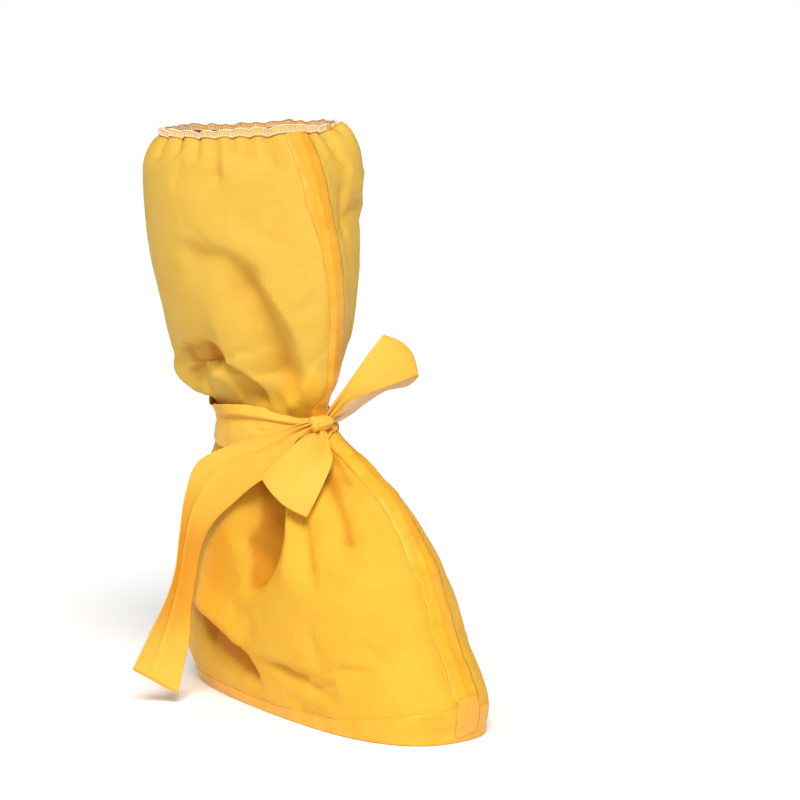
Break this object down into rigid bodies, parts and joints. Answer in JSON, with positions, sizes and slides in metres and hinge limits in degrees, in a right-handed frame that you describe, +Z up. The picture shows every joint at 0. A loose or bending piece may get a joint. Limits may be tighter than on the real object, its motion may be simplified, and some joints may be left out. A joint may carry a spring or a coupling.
{
  "type": "anti-slip shoe cover",
  "caption": "Knee-high protective boot cover with elastic hem, taped seams, flat sole and a wide ankle strap tied in a half bow, in its worn form.",
  "frame": {"origin": "on the inside of the sole, where the foot stands, in the plane of the front seam", "axes": "+Z up the leg, -Y towards the toe, +X towards the wearer's left"},
  "size_m": [0.1943, 0.3343, 0.432],
  "materials": {
    "coated_nonwoven": "satin",
    "seam_tape": "satin",
    "sole_sheet": "matte",
    "hem": "matte",
    "strap": "satin"
  },
  "bodies": {
    "root": {"upper": "coated_nonwoven", "sole": "sole_sheet", "sole_seam_tape": "seam_tape", "front_seam_tape": "seam_tape", "toe_patch": "seam_tape", "top_elastic_hem": "hem", "ankle_band": "strap", "bow_knot": "strap", "bow_loop": "strap", "long_tail": "strap", "short_tail": "strap"}
  },
  "joints": []
}
